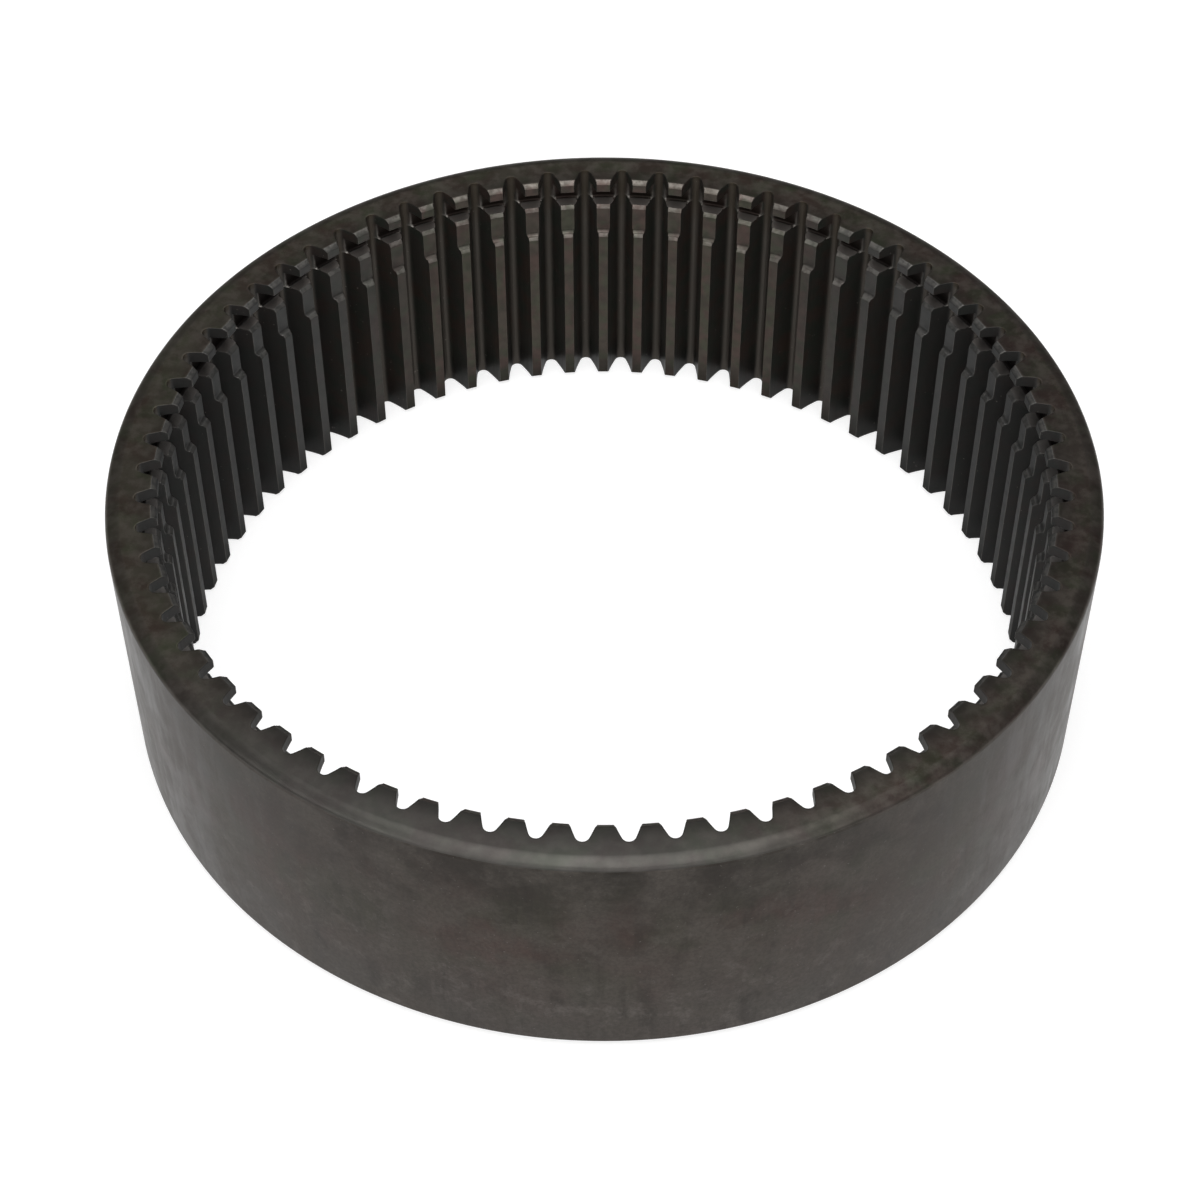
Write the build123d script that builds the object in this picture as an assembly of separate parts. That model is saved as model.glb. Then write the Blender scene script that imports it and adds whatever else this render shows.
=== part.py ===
from build123d import *

import os
from math import acos, cos, pi, radians, sin, tan

# Internal ring gear: one steel ring, turned all over, with straight involute teeth cut in its bore.
# It stands on its lower end face. The origin is the centre of that face, +Z is the gear's axis, and
# a tooth space is centred on +X. All lengths are in millimetres.

# --- Teeth -------------------------------------------------------------------------------------
TEETH = 70
MODULE = 3.5
PRESSURE_ANGLE = 20.0  # degrees
ADDENDUM_FACTOR = 1.0  # tooth height inside the pitch circle, in modules
DEDENDUM_FACTOR = 1.25  # tooth depth outside the pitch circle, in modules
TOOTH_THINNING = 0.4  # taken off each tooth's thickness at the pitch circle, for running clearance
ROOT_ROUND = 0.25  # height of the round that closes each tooth space

# --- Ring --------------------------------------------------------------------------------------
HEIGHT = 77.0
WALL_BEHIND_TEETH = 8.125  # from the tooth roots to the outside
TOP_EDGE_CHAMFER = 1.5
BOTTOM_EDGE_CHAMFER = 2.5

# --- Recess turned in the tooth tips at the upper end, which a neighbouring part enters --------
RECESS_STEP = 2.0  # how far the tips are turned back
RECESS_DEPTH = 18.8
MOUTH_CHAMFER_WIDTH = 1.5
MOUTH_CHAMFER_DEPTH = 1.0

# --- Retaining-ring groove, turned through the teeth inside the recess -------------------------
GROOVE_FROM_TOP = 3.6
GROOVE_WIDTH = 5.5
GROOVE_FLOOR_TO_ROOT = 1.0  # the groove is this much shallower than the tooth spaces

# --- Chamfers on the tips where the full teeth end ---------------------------------------------
STEP_CHAMFER = 0.8
LOWER_END_CHAMFER = 1.2

# --- Worked out from the values above ----------------------------------------------------------
PITCH_RADIUS = MODULE * TEETH / 2
BASE_RADIUS = PITCH_RADIUS * cos(radians(PRESSURE_ANGLE))
TIP_RADIUS = PITCH_RADIUS - ADDENDUM_FACTOR * MODULE
ROOT_RADIUS = PITCH_RADIUS + DEDENDUM_FACTOR * MODULE
OUTER_RADIUS = ROOT_RADIUS + WALL_BEHIND_TEETH
RECESS_RADIUS = TIP_RADIUS + RECESS_STEP
RECESS_FLOOR = HEIGHT - RECESS_DEPTH
GROOVE_RADIUS = ROOT_RADIUS - GROOVE_FLOOR_TO_ROOT
GROOVE_TOP = HEIGHT - GROOVE_FROM_TOP
GROOVE_BOTTOM = GROOVE_TOP - GROOVE_WIDTH
SPACE_MOUTH = (BASE_RADIUS + TIP_RADIUS) / 2  # inside the tips, where a cut space is already open


def involute(angle: float) -> float:
    """Involute function of a pressure angle in radians."""
    return tan(angle) - angle


def space_half_angle(radius: float) -> float:
    """Half the angle, in radians, that one tooth space takes up at this radius."""
    at_pitch_circle = (pi * MODULE + TOOTH_THINNING * 2) / (4 * PITCH_RADIUS)
    local_pressure_angle = acos(BASE_RADIUS / radius)
    return at_pitch_circle + involute(radians(PRESSURE_ANGLE)) - involute(local_pressure_angle)


def flank_point(radius: float, side: int) -> tuple[float, float]:
    """Point of the involute at this radius, on the +1 or -1 side of the space centred on +X."""
    angle = side * space_half_angle(radius)
    return radius * cos(angle), radius * sin(angle)


def turned_blank() -> Part:
    """The ring as it leaves the lathe, with the recess, groove and chamfers turned and no teeth yet."""
    outside = [
        (OUTER_RADIUS - BOTTOM_EDGE_CHAMFER, 0),
        (OUTER_RADIUS, BOTTOM_EDGE_CHAMFER),
        (OUTER_RADIUS, HEIGHT - TOP_EDGE_CHAMFER),
        (OUTER_RADIUS - TOP_EDGE_CHAMFER, HEIGHT),
    ]
    recess_and_groove = [
        (RECESS_RADIUS + MOUTH_CHAMFER_WIDTH, HEIGHT),
        (RECESS_RADIUS, HEIGHT - MOUTH_CHAMFER_DEPTH),
        (RECESS_RADIUS, GROOVE_TOP),
        (GROOVE_RADIUS, GROOVE_TOP),
        (GROOVE_RADIUS, GROOVE_BOTTOM),
        (RECESS_RADIUS, GROOVE_BOTTOM),
        (RECESS_RADIUS, RECESS_FLOOR),
    ]
    full_tips = [
        (TIP_RADIUS + STEP_CHAMFER, RECESS_FLOOR),
        (TIP_RADIUS, RECESS_FLOOR - STEP_CHAMFER),
        (TIP_RADIUS, LOWER_END_CHAMFER),
        (TIP_RADIUS + LOWER_END_CHAMFER, 0),
    ]
    with BuildPart() as blank:
        with BuildSketch(Plane.XZ):
            with BuildLine():
                Polyline(*outside, *recess_and_groove, *full_tips, close=True)
            make_face()
        revolve(axis=Axis.Z)
    return blank.part


def tooth_space() -> Sketch:
    """Outline of one tooth space: two flanks, each an arc through three involute points, and a round root."""
    flank_end = ROOT_RADIUS - ROOT_ROUND
    flank_radii = (SPACE_MOUTH, (SPACE_MOUTH + flank_end) / 2, flank_end)
    with BuildSketch() as space:
        with BuildLine():
            left = ThreePointArc(*(flank_point(radius, 1) for radius in flank_radii))
            right = ThreePointArc(*(flank_point(radius, -1) for radius in flank_radii))
            ThreePointArc(left @ 1, (ROOT_RADIUS, 0), right @ 1)
            Line(right @ 0, left @ 0)
        make_face()
    return space.sketch


def ring_gear() -> Part:
    """The finished gear: the tooth spaces are cut through the turned blank, evenly round its bore."""
    with BuildPart() as gear:
        add(turned_blank())
        with BuildSketch():
            with PolarLocations(0, TEETH):
                add(tooth_space())
        extrude(amount=HEIGHT, mode=Mode.SUBTRACT)
    return gear.part


os.makedirs("parts", exist_ok=True)
export_step(ring_gear(), "parts/ring_gear.step")
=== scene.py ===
"""Internal ring gear in heat-darkened steel, dressed over its CAD frame.

The ring stands on its lower end face, with its axis along +Z. Sizes in the classes are in
millimetres; the meshes go to Blender in metres. Colours are linear red, green and blue.
"""

import logging
import math
from dataclasses import dataclass, field
from enum import IntEnum
from typing import Any, Optional, Sequence, Union

import bpy
import numpy as np
from mathutils import Matrix, Vector


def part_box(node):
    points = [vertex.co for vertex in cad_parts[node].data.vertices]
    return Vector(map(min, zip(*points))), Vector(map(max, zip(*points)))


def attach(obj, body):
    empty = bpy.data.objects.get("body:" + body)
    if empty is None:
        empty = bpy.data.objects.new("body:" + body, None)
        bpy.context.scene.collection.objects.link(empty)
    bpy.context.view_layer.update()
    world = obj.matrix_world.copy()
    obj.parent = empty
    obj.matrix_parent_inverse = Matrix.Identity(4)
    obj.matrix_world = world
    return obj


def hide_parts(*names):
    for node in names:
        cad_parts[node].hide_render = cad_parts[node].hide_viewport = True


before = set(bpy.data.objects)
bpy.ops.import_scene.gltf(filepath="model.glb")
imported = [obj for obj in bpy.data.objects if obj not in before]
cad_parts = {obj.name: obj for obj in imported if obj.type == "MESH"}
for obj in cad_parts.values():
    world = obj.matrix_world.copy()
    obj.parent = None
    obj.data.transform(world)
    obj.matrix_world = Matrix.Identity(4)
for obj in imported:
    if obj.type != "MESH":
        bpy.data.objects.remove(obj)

log = logging.getLogger("ring_gear")
MM = 0.001


# --- Shader graph ---------------------------------------------------------------------------

Value = Union[float, "Wire"]
Colour = tuple[float, float, float]


@dataclass(frozen=True)
class Wire:
    """An output socket that adds Math nodes when it is used in an expression.

    Args:
        graph: The graph that the socket belongs to.
        socket: The output socket.
    """

    graph: "Graph"
    socket: bpy.types.NodeSocket

    def __add__(self, other: Value) -> "Wire":
        """Sum of the two values."""
        return self.graph.maths("ADD", self, other)

    def __radd__(self, other: Value) -> "Wire":
        """Sum of the two values."""
        return self.graph.maths("ADD", other, self)

    def __sub__(self, other: Value) -> "Wire":
        """This value less the other."""
        return self.graph.maths("SUBTRACT", self, other)

    def __rsub__(self, other: Value) -> "Wire":
        """The other value less this."""
        return self.graph.maths("SUBTRACT", other, self)

    def __mul__(self, other: Value) -> "Wire":
        """Product of the two values."""
        return self.graph.maths("MULTIPLY", self, other)

    def __rmul__(self, other: Value) -> "Wire":
        """Product of the two values."""
        return self.graph.maths("MULTIPLY", other, self)

    def __abs__(self) -> "Wire":
        """This value without its sign."""
        return self.graph.maths("ABSOLUTE", self, 0.0)


@dataclass
class Graph:
    """The node graph of one material or world.

    Args:
        tree: Its node tree.
    """

    tree: bpy.types.NodeTree

    def node(self, kind: str, settings: dict[str, Any], sockets: dict[Any, Any], output: Any = 0) -> Wire:
        """Adds one node.

        Args:
            kind: The node's type.
            settings: Properties of the node, which are set first.
            sockets: Input socket names or indices, with the value or Wire that each takes.
            output: Name or index of the output socket to hand back.

        Returns:
            The chosen output as a Wire.
        """
        made = self.tree.nodes.new(kind)
        for name, value in settings.items():
            setattr(made, name, value)
        for name, value in sockets.items():
            if isinstance(value, Wire):
                self.tree.links.new(value.socket, made.inputs[name])
            else:
                made.inputs[name].default_value = value
        return Wire(self, made.outputs[output])

    def end(self, kind: str, surface: Wire) -> None:
        """Adds the output node that takes the finished shader."""
        self.tree.links.new(surface.socket, self.tree.nodes.new(kind).inputs["Surface"])

    def maths(self, operation: str, first: Value, second: Value) -> Wire:
        """One Math node on two values."""
        return self.node("ShaderNodeMath", {"operation": operation}, {0: first, 1: second})

    def mix(self, share: Value, first: Any, second: Any) -> Wire:
        """Blends two colours.

        Args:
            share: How much of the second colour shows, 0 to 1.
            first: Colour or Wire.
            second: Colour or Wire.

        Returns:
            The blended colour.
        """
        ends = {6: first, 7: second}
        sockets = {i: c if isinstance(c, Wire) else (*c, 1.0) for i, c in ends.items()}
        return self.node("ShaderNodeMix", {"data_type": "RGBA"}, {0: share, **sockets}, 2)

    def scaled(self, vector: Wire, by: Sequence[float]) -> Wire:
        """A vector with each of its components multiplied."""
        return self.node("ShaderNodeVectorMath", {"operation": "MULTIPLY"}, {0: vector, 1: tuple(by)})

    def place(self) -> Wire:
        """Where a point of the piece is, in millimetres in the piece's own frame."""
        coords = self.node("ShaderNodeTexCoord", {}, {}, "Object")
        return self.scaled(coords, (1 / MM,) * 3)

    def axes(self, vector: Wire) -> tuple[Wire, Wire, Wire]:
        """The three components of a vector."""
        split = self.node("ShaderNodeSeparateXYZ", {}, {0: vector})
        return tuple(Wire(self, out) for out in split.socket.node.outputs)

    def radius(self, place: Wire) -> Wire:
        """How far a point is from the ring's axis, in millimetres."""
        flat = self.scaled(place, (1, 1, 0))
        return self.node("ShaderNodeVectorMath", {"operation": "LENGTH"}, {0: flat}, "Value")

    def span(self, value: Wire, low: float, high: float, first: float = 0.0, last: float = 1.0) -> Wire:
        """Maps a value smoothly from one span to another.

        Args:
            value: What is mapped.
            low: Where the span starts.
            high: Where the span ends.
            first: What low becomes.
            last: What high becomes.

        Returns:
            The mapped value, held within the new span.
        """
        settings = {"interpolation_type": "SMOOTHSTEP"}
        sockets = {"Value": value, "From Min": low, "From Max": high, "To Min": first, "To Max": last}
        return self.node("ShaderNodeMapRange", settings, sockets)

    def bump(self, height: Wire, depth: float) -> Wire:
        """Raises the surface by a height map.

        Args:
            height: Height from 0 to 1.
            depth: What a height of 1 stands for, in millimetres.

        Returns:
            The raised normal.
        """
        sockets = {"Height": height, "Distance": depth * MM, "Strength": 1.0}
        return self.node("ShaderNodeBump", {}, sockets)


@dataclass(frozen=True, kw_only=True)
class Noise:
    """Cloudy noise.

    Args:
        size: Size of its lumps in millimetres.
        detail: How many finer layers it has.
        rough: How strong the finer layers are.
        squeeze: What each axis is multiplied by; less than 1 draws the lumps out along it.
    """

    size: float
    detail: float = 2.0
    rough: float = 0.5
    squeeze: Optional[tuple[float, float, float]] = None

    def read(self, graph: Graph, place: Wire) -> Wire:
        """Reads the noise.

        Args:
            graph: The material's graph.
            place: Position in millimetres.

        Returns:
            A value from 0 to 1, mostly near 0.5.
        """
        at = graph.scaled(place, self.squeeze) if self.squeeze else place
        sockets = {"Vector": at, "Scale": 1 / self.size, "Detail": self.detail, "Roughness": self.rough}
        return graph.node("ShaderNodeTexNoise", {}, sockets)


@dataclass(frozen=True, kw_only=True)
class Mottle(Noise):
    """Patches of one tone, where a noise is high.

    Args:
        low: Noise level at which a patch begins.
        high: Noise level from which it shows in full.
        between: How much shows between the patches, 0 to 1.
        tone: Colour of the patches.
        share: How much of the tone shows in a full patch.
    """

    low: float
    high: float
    between: float = 0.0
    tone: Colour = (0.0, 0.0, 0.0)
    share: float = 1.0

    def mask(self, graph: Graph, place: Wire) -> Wire:
        """Where the patches are: 1 in a full patch and less around it."""
        return graph.span(self.read(graph, place), self.low, self.high, self.between)

    def over(self, graph: Graph, colour: Any, mask: Wire) -> Wire:
        """The colour with the patches of a mask laid over it."""
        return graph.mix(mask * self.share, colour, self.tone)

    def lay(self, graph: Graph, colour: Any, place: Wire) -> Wire:
        """The colour with the patches laid over it."""
        return self.over(graph, colour, self.mask(graph, place))


@dataclass(frozen=True)
class Slope:
    """A value that changes smoothly along one measure, such as the height.

    Args:
        start: Where the change starts; on the ring, in millimetres.
        stop: Where it ends.
        first: Value before the change.
        last: Value after it.
    """

    start: float
    stop: float
    first: float = 0.0
    last: float = 1.0

    def read(self, graph: Graph, measure: Wire) -> Wire:
        """The value along the measure."""
        return graph.span(measure, self.start, self.stop, self.first, self.last)


@dataclass(frozen=True)
class Fade(Slope):
    """A tone that comes in or goes along one measure of the ring.

    Args:
        tone: The tone.
    """

    tone: Colour = (0.0, 0.0, 0.0)

    def over(self, graph: Graph, colour: Wire, measure: Wire) -> Wire:
        """The colour with the tone faded over it."""
        return graph.mix(self.read(graph, measure), colour, self.tone)


# --- Finishes -------------------------------------------------------------------------------


class Zone(IntEnum):
    """Surfaces of the ring that have a finish of their own, in the order of its slots."""

    OUTER_WALL = 0
    END_FACE = 1
    TURNED_BORE = 2
    CUT_TEETH = 3


@dataclass(frozen=True)
class Finish:
    """What every finish shares: the dark oxide skin and the exposed metal along its edges.

    That metal stands partly for scuffing and partly for painted glints.

    Args:
        name: The material's name.
        skin: Colour of the oxide skin.
        warm: Redder brown of the skin's warmer clouds.
        olive: Greener tone of its other clouds.
        cloud_size: Size of the clouds in millimetres.
        roughness: How matt the skin is.
        metallic: How metallic the skin is.
        glance: How strongly the skin shines where it is seen at a low angle.
        shine: How strong the oxide's own clear reflection is.
        bare_and_glint: Colour of the exposed metal on edges, for scuffs and painted glints.
        rubbed_and_glint: How much of that metal shows along edges, as scuffs and painted glints.
        rub_and_glint_size: Size of the scuffed and glinting patches in millimetres.
        polish: How much smoother than the skin the exposed metal is.
    """

    name: str = "dark_steel"
    skin: Colour = (0.041, 0.031, 0.025)
    warm: Colour = (0.049, 0.030, 0.025)
    olive: Colour = (0.035, 0.033, 0.022)
    cloud_size: float = 30.0
    roughness: float = 0.34
    metallic: float = 0.8
    glance: float = 1.0
    shine: float = 0.5
    # exposed metal along edges: scuffing and painted glints
    bare_and_glint: Colour = (0.18, 0.17, 0.16)
    rubbed_and_glint: float = 0.5
    rub_and_glint_size: float = 7.0
    polish: float = 0.08

    def make(self) -> bpy.types.Material:
        """Builds the material.

        Returns:
            The finished material.
        """
        material = bpy.data.materials.new(self.name)
        material.use_nodes = True
        material.node_tree.nodes.clear()
        graph = Graph(material.node_tree)
        place = graph.place()
        colour, roughness, normal = self.surface(graph, place)
        # exposed metal along edges: partly scuffing, partly painted glints
        worn_and_glinting = self.wear_and_glints(graph, place)
        sockets = {
            "Base Color": graph.mix(worn_and_glinting, colour, self.bare_and_glint),
            "Roughness": roughness - worn_and_glinting * self.polish,
            "Metallic": self.metallic,
            "Normal": normal,
            "Specular IOR Level": self.shine,
            "Specular Tint": (self.glance, self.glance, self.glance, 1.0),
        }
        graph.end("ShaderNodeOutputMaterial", graph.node("ShaderNodeBsdfPrincipled", {}, sockets))
        return material

    def clouds(self, graph: Graph, place: Wire) -> Wire:
        """The oxide skin's slow drift between its tones.

        Args:
            graph: The material's graph.
            place: Position in millimetres.

        Returns:
            The clouded colour.
        """
        warmer = Mottle(size=self.cloud_size, detail=4.0, rough=0.55, low=0.44, high=0.62, tone=self.warm)
        greener = Mottle(
            size=self.cloud_size * 0.7, detail=3.0, squeeze=(1, 1, 1.3), low=0.46, high=0.64,
            tone=self.olive, share=0.8,
        )
        return greener.lay(graph, warmer.lay(graph, self.skin, place), place)

    def wear_and_glints(self, graph: Graph, place: Wire) -> Wire:
        """Where metal shows along edges, as scuffing and as painted glints.

        Args:
            graph: The material's graph.
            place: Position in millimetres.

        Returns:
            0 on sound skin, towards 1 on exposed metal.
        """
        # edge marks and patches that stand for scuffing and for painted glints
        edge = graph.node("ShaderNodeAttribute", {"attribute_name": "edge"}, {}, "Fac")
        rubs_and_glints = Mottle(size=self.rub_and_glint_size, detail=3.0, low=0.35, high=0.62, between=0.35)
        return edge * rubs_and_glints.mask(graph, place) * self.rubbed_and_glint

    def surface(self, graph: Graph, place: Wire) -> tuple[Wire, Wire, Wire]:
        """Colour, roughness and normal of the sound skin."""
        raise NotImplementedError


@dataclass(frozen=True)
class OuterWallFinish(Finish):
    """Turned cylinder with clouded scale, faint run marks down it and small specks.

    Args:
        shade: Painted shade, darker towards the upper edge, where the wall reflects less light.
        painted_foot_light: Painted light, paler towards the foot, where the wall reflects more light.
        runs: Dark marks of runs down the wall.
        patches: Paler patches in the scale.
        hair_bends: Noise whose middle level the hair marks follow.
        hair_width: How far from that level a hair mark reaches.
        hairs: Lumps within which the hair marks show.
        smudges: Pale smudges.
        smudged: Share of the smudges, which is larger near the foot.
        grit: Fine dark grit.
        specks: Small bright specks.
        patch_matt: How much rougher a patch is.
        run_gloss: How much smoother a run mark is.
        turning: Fine lines left by turning.
        grain: Grain of the scale.
        relief: Depth of the turning lines and grain in millimetres.
    """

    name: str = "scaled_outer_wall"
    glance: float = 0.72
    # painted shade towards the upper edge and painted light towards the foot
    shade: Fade = Fade(34.0, 77.0, 0.0, 0.8, (0.019, 0.016, 0.013))
    painted_foot_light: Fade = Fade(0.0, 50.0, 0.8, 0.0, (0.064, 0.057, 0.052))
    runs: Mottle = Mottle(
        size=4.0, detail=4.0, rough=0.6, squeeze=(1, 1, 0.14), low=0.44, high=0.66,
        tone=(0.012, 0.009, 0.007), share=0.38,
    )
    patches: Mottle = Mottle(
        size=17.0, detail=7.0, rough=0.67, low=0.37, high=0.65, tone=(0.066, 0.057, 0.049), share=0.70
    )
    hair_bends: Noise = Noise(size=16.0, squeeze=(1, 1, 0.35))
    hair_width: float = 0.03
    hairs: Mottle = Mottle(size=11.0, low=0.55, high=0.68, tone=(0.012, 0.010, 0.008), share=0.3)
    smudges: Mottle = Mottle(
        size=6.0, detail=6.0, rough=0.7, low=0.50, high=0.70, tone=(0.105, 0.093, 0.084)
    )
    smudged: Slope = Slope(6.0, 60.0, 0.6, 0.15)
    grit: Mottle = Mottle(
        size=1.1, detail=3.0, rough=0.7, low=0.40, high=0.62, tone=(0.008, 0.007, 0.006), share=0.22
    )
    specks: Mottle = Mottle(size=0.9, low=0.70, high=0.76, tone=(0.12, 0.11, 0.10), share=0.5)
    patch_matt: float = 0.10
    run_gloss: float = 0.05
    turning: Noise = Noise(size=0.45, rough=0.7, squeeze=(0.02, 0.02, 1))
    grain: Noise = Noise(size=0.7, detail=3.0, rough=0.6)
    relief: float = 0.008

    def surface(self, graph: Graph, place: Wire) -> tuple[Wire, Wire, Wire]:
        """Colour, roughness and normal of the wall.

        Args:
            graph: The material's graph.
            place: Position in millimetres.

        Returns:
            Colour, roughness and normal.
        """
        height = graph.axes(place)[2]
        runs, patches = self.runs.mask(graph, place), self.patches.mask(graph, place)
        bends = abs(self.hair_bends.read(graph, place) - 0.5)
        hairs = graph.span(bends, 0.0, self.hair_width, 1.0, 0.0) * self.hairs.mask(graph, place)
        smudges = self.smudges.mask(graph, place) * self.smudged.read(graph, height)
        # painted shade towards the upper edge, then painted light towards the foot
        colour = self.shade.over(graph, self.clouds(graph, place), height)
        colour = self.painted_foot_light.over(graph, colour, height)
        colour = self.runs.over(graph, colour, runs)
        colour = self.patches.over(graph, colour, patches)
        colour = self.hairs.over(graph, colour, hairs)
        colour = self.smudges.over(graph, colour, smudges)
        colour = self.grit.lay(graph, colour, place)
        colour = self.specks.lay(graph, colour, place)
        roughness = self.roughness + patches * self.patch_matt - runs * self.run_gloss
        marks = self.turning.read(graph, place) * 0.5 + self.grain.read(graph, place) * 0.5
        return colour, roughness, graph.bump(marks, self.relief)


@dataclass(frozen=True)
class EndFaceFinish(Finish):
    """Faced end with blotchy scale and rings left by the facing tool.

    Args:
        drifts: Wide paler drifts.
        right: Redder skin towards +X.
        left: Paler, yellower skin towards -X.
        back: Olive skin towards +Y.
        blotches: Dark blotches.
        flecks: Pale flecks.
        thin_scale_and_front_light: Greyer, paler skin towards the front: partly thinner scale and
            partly painted light on the side nearest the lamps.
        thin_scale_and_front_light_way: The direction in which that grows, as shares of X and Y.
        painted_inner_shade: Painted shade, darker skin next to the teeth, by radius.
        painted_inner_shade_back: How it gives way towards the back.
        painted_inner_shade_left: How it gives way towards -X.
        painted_inner_shade_right: How it gives way towards +X.
        blotch_matt: How much rougher a blotch is.
        turning: Rings left by the facing tool.
        grain: Grain of the scale.
        ring_share: Share of the rings in the relief; the grain has the rest.
        relief: Depth of the rings and grain in millimetres.
    """

    name: str = "scaled_end_face"
    skin: Colour = (0.043, 0.038, 0.030)
    warm: Colour = (0.062, 0.033, 0.030)
    olive: Colour = (0.032, 0.044, 0.022)
    cloud_size: float = 12.0
    glance: float = 0.6
    shine: float = 0.3
    drifts: Mottle = Mottle(size=46.0, low=0.38, high=0.62, tone=(0.058, 0.051, 0.042), share=0.4)
    right: Fade = Fade(40.0, 125.0, 0.0, 0.35, (0.044, 0.031, 0.031))
    left: Fade = Fade(-125.0, -40.0, 0.4, 0.0, (0.066, 0.059, 0.044))
    back: Fade = Fade(70.0, 128.0, 0.0, 0.3, (0.044, 0.040, 0.027))
    blotches: Mottle = Mottle(
        size=12.0, detail=7.0, rough=0.66, low=0.36, high=0.64, tone=(0.017, 0.015, 0.011), share=0.6
    )
    flecks: Mottle = Mottle(
        size=4.5, detail=5.0, rough=0.62, low=0.40, high=0.66, tone=(0.098, 0.086, 0.074), share=0.45
    )
    # paler towards the front: partly thinner scale, partly painted light
    thin_scale_and_front_light: Fade = Fade(84.0, 128.0, 0.0, 0.62, (0.056, 0.055, 0.053))
    thin_scale_and_front_light_way: tuple[float, float] = (-0.26, -0.97)
    # painted shade: darker next to the teeth, less so towards the back and the sides
    painted_inner_shade: Fade = Fade(119.0, 131.0, 1.0, 0.0, (0.014, 0.013, 0.012))
    painted_inner_shade_back: Slope = Slope(-80.0, 90.0, 1.0, 0.55)
    painted_inner_shade_left: Slope = Slope(-118.0, -85.0, 0.45, 1.0)
    painted_inner_shade_right: Slope = Slope(90.0, 120.0, 1.0, 0.75)
    blotch_matt: float = 0.06
    turning: Noise = Noise(size=0.5, rough=0.7)
    grain: Noise = Noise(size=0.8, detail=3.0, rough=0.6)
    ring_share: float = 0.6
    relief: float = 0.006

    def surface(self, graph: Graph, place: Wire) -> tuple[Wire, Wire, Wire]:
        """Colour, roughness and normal of an end face.

        Args:
            graph: The material's graph.
            place: Position in millimetres.

        Returns:
            Colour, roughness and normal.
        """
        radius = graph.radius(place)
        across, along, _ = graph.axes(place)
        colour = self.drifts.lay(graph, self.clouds(graph, place), place)
        colour = self.right.over(graph, colour, across)
        colour = self.left.over(graph, colour, across)
        colour = self.back.over(graph, colour, along)
        blotches = self.blotches.mask(graph, place)
        colour = self.blotches.over(graph, colour, blotches)
        colour = self.flecks.lay(graph, colour, place)
        # paler towards the front: partly thinner scale, partly painted light
        colour = self.thin_scale_and_front_light.over(graph, colour, across * self.thin_scale_and_front_light_way[0] + along * self.thin_scale_and_front_light_way[1])
        # painted shade next to the teeth, less towards the back and the sides
        painted_inner_shade = self.painted_inner_shade.read(graph, radius) * self.painted_inner_shade_back.read(graph, along)
        painted_inner_shade = painted_inner_shade * self.painted_inner_shade_left.read(graph, across) * self.painted_inner_shade_right.read(graph, across)
        colour = graph.mix(painted_inner_shade, colour, self.painted_inner_shade.tone)
        rings = graph.node("ShaderNodeCombineXYZ", {}, {0: radius, 1: 0.0, 2: 0.0})
        turning, grain = self.turning.read(graph, rings), self.grain.read(graph, place)
        normal = graph.bump(turning * self.ring_share + grain * (1 - self.ring_share), self.relief)
        return colour, self.roughness + blotches * self.blotch_matt, normal


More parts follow.
